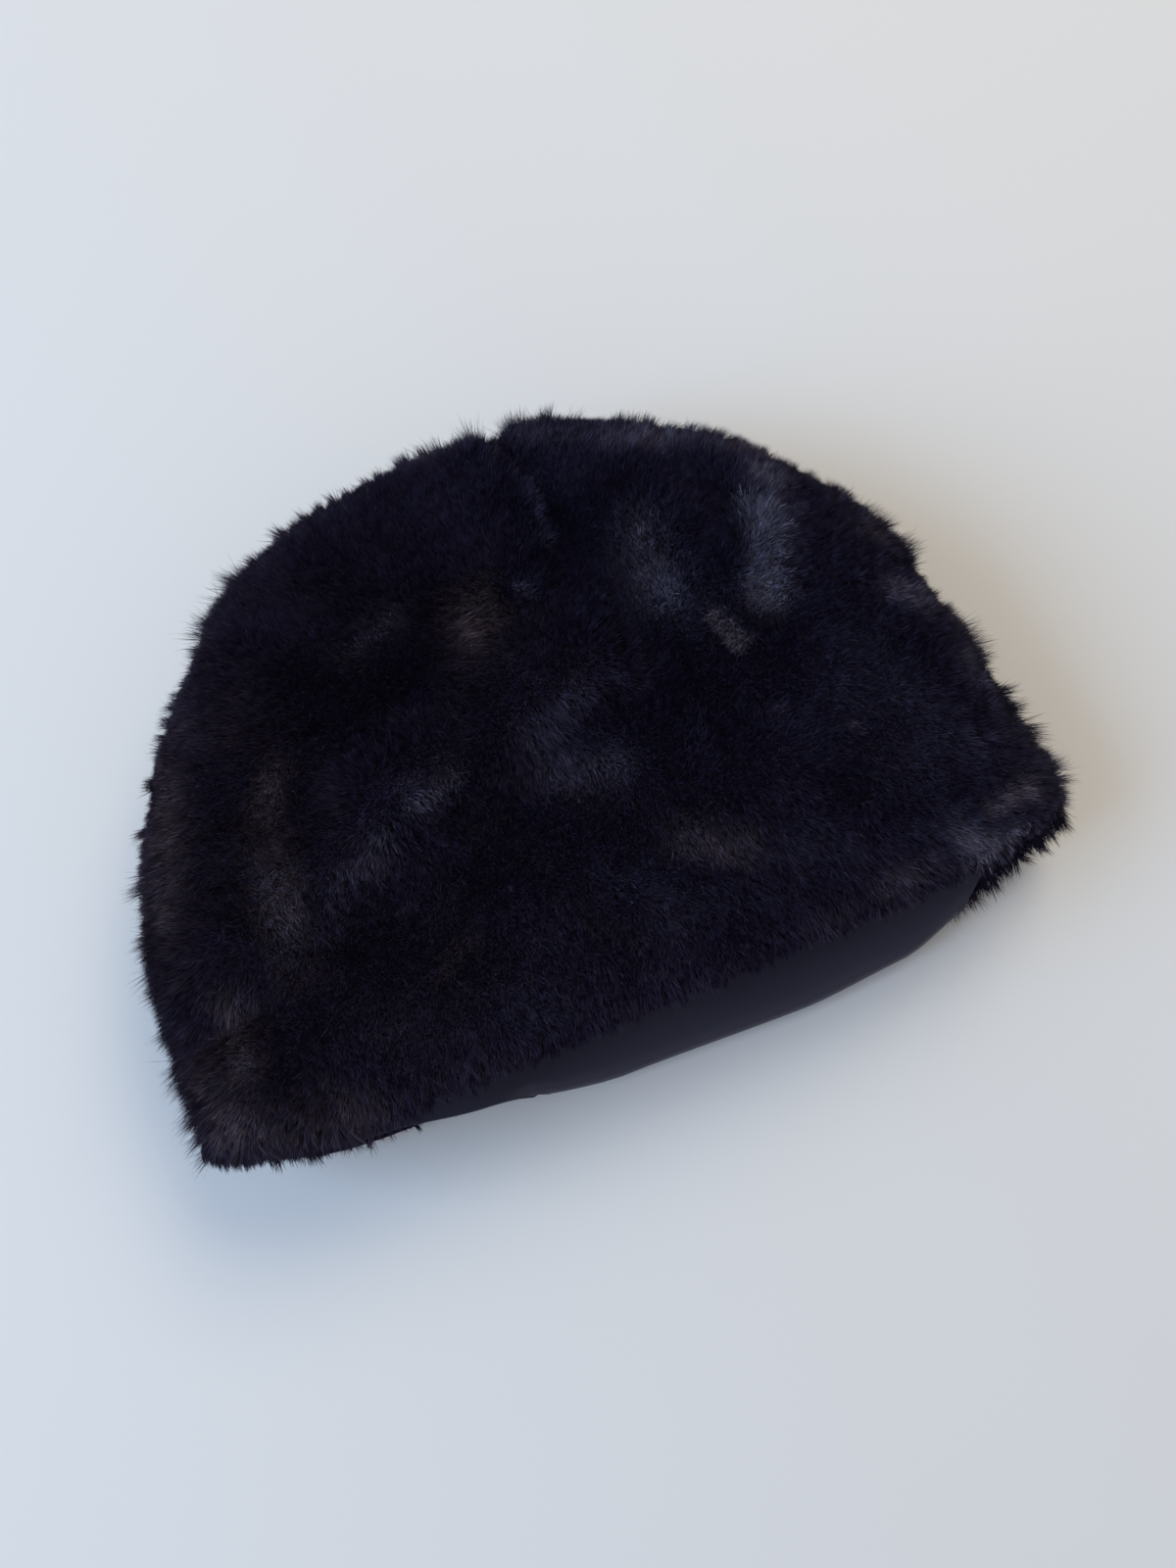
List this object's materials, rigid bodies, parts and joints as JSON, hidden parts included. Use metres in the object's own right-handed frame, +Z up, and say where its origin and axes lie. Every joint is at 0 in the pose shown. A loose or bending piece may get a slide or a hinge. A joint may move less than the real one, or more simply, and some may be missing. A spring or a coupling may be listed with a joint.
{
  "type": "black faux fur cap lying on its side",
  "caption": "Soft lined cap of short dense black pile, sewn from gores, lying on its side with its rim open and the smooth lining rolled out over the under hem.",
  "frame": {"origin": "centre of the bounding box in plan, on the surface the cap lies on", "axes": "+X along the rim from its left corner to its right corner as seen facing the crown from the rim, +Y from the rim to the crown, +Z up"},
  "size_m": [0.2984, 0.2159, 0.0869],
  "materials": {
    "pile": "short dense black faux fur with soft sheen",
    "lining": "smooth dark blue-grey satin lining"
  },
  "bodies": {
    "root": {"gore_top_left": "pile", "gore_top_right": "pile", "gore_under_left": "pile", "gore_under_right": "pile", "lining": "lining"}
  },
  "joints": []
}
